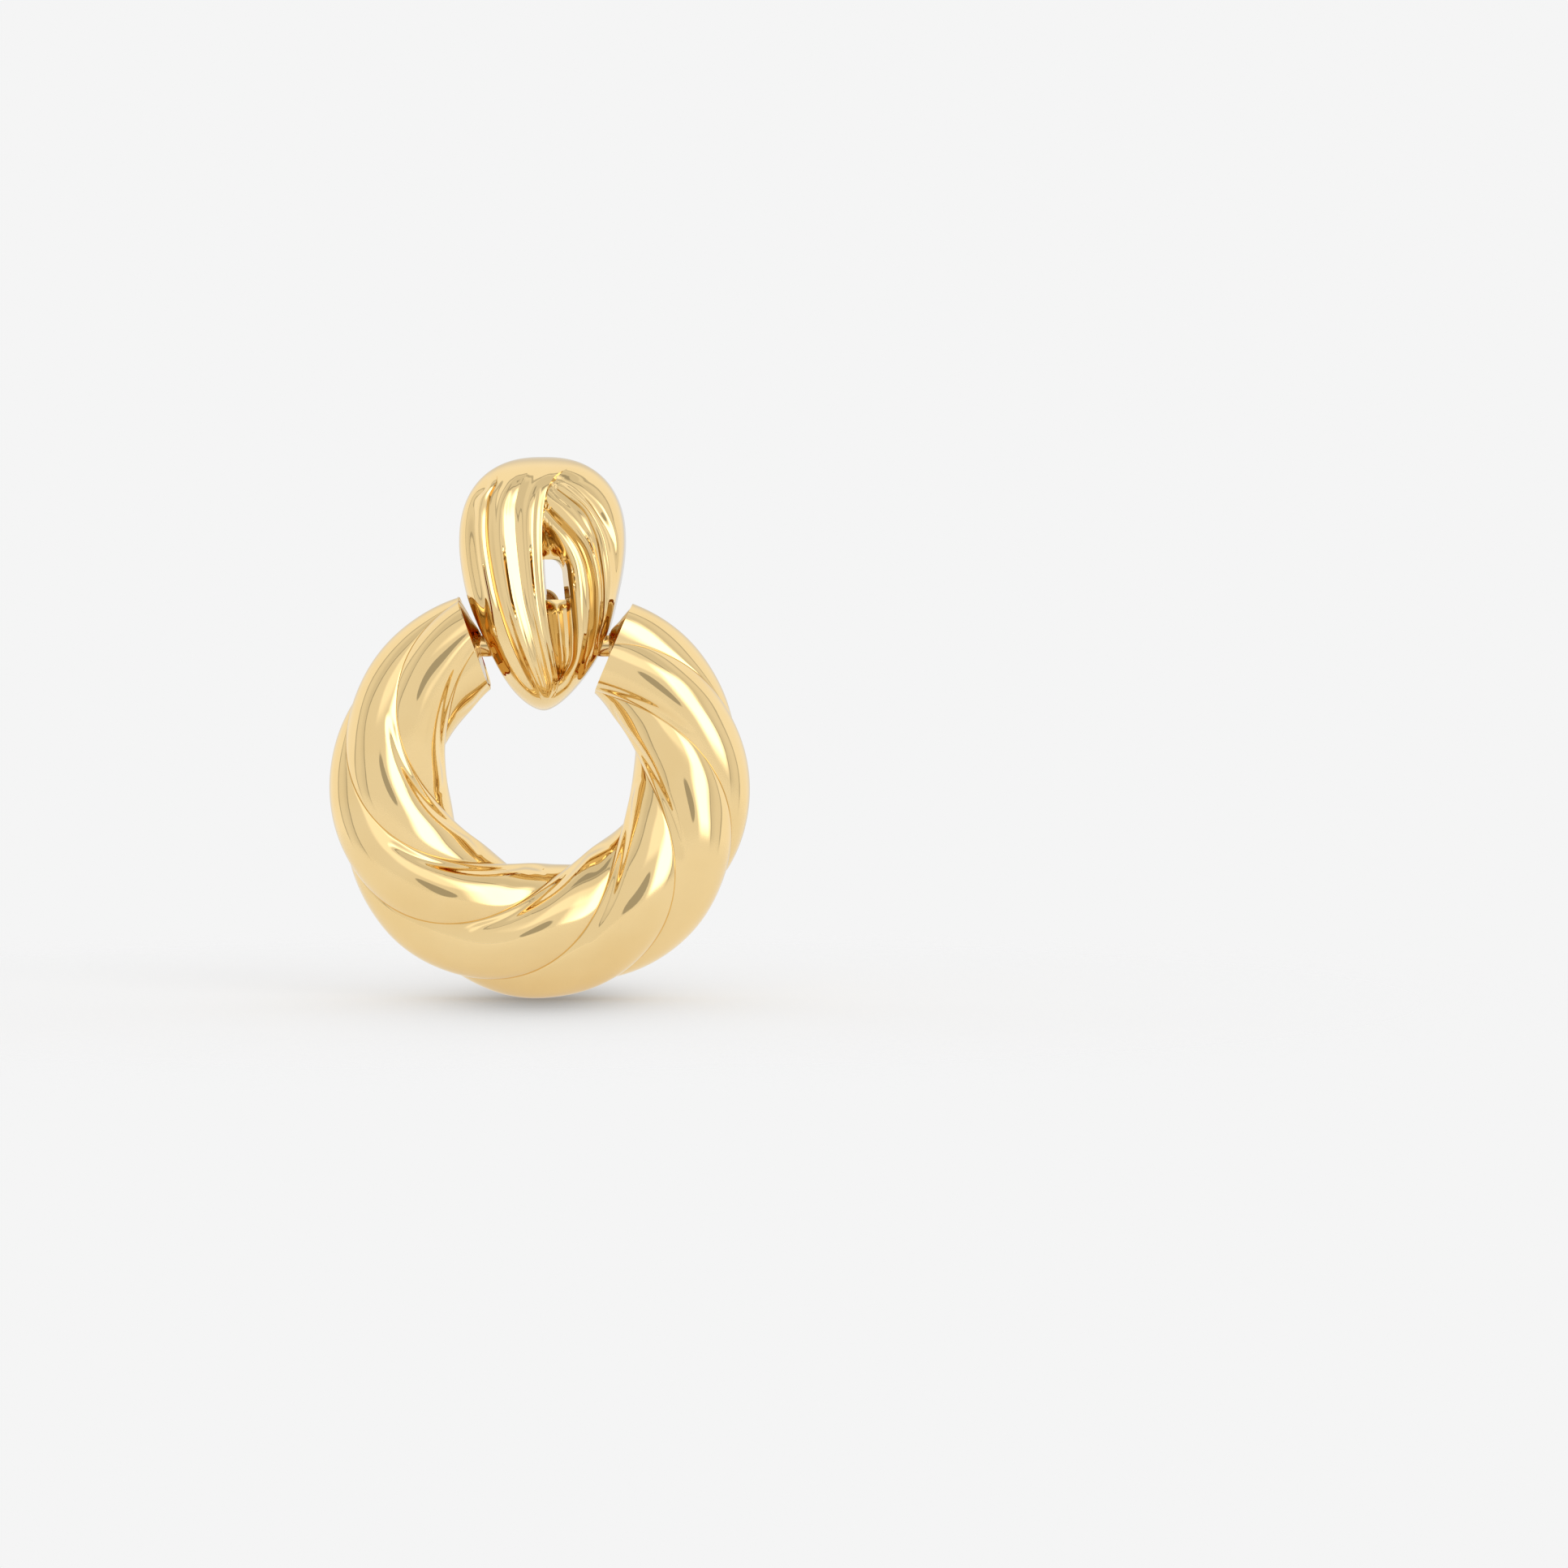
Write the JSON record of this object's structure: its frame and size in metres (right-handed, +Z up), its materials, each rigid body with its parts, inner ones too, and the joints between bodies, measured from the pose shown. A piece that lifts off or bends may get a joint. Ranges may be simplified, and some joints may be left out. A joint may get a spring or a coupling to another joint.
{
  "type": "doorknocker earring",
  "caption": "Polished gold doorknocker earring: a wrapped teardrop stud with an ear post, and a thick twisted ring hinged below it.",
  "frame": {"origin": "where the ear post leaves its pad, on the stud's middle line at the plane of its open back, which lies on the ear lobe", "axes": "+X to the viewer's right, +Y to the back along the ear post, +Z up"},
  "size_m": [0.0296, 0.0178, 0.0381],
  "materials": {
    "stud_gold": "polished gold",
    "ring_gold": "polished gold",
    "post_gold": "satin gold",
    "pin_gold": "polished gold"
  },
  "bodies": {
    "stud": {"stud_shell": "stud_gold", "ear_post": "post_gold"},
    "drop": {"twisted_ring": "ring_gold", "hinge_pin": "pin_gold"}
  },
  "joints": [
    {"name": "drop_swing", "type": "hinge", "parent": "stud", "child": "drop", "pos_m": [0, -0.003, -0.0029], "axis": [1, 0, 0], "range_deg": [-30, 25]}
  ]
}
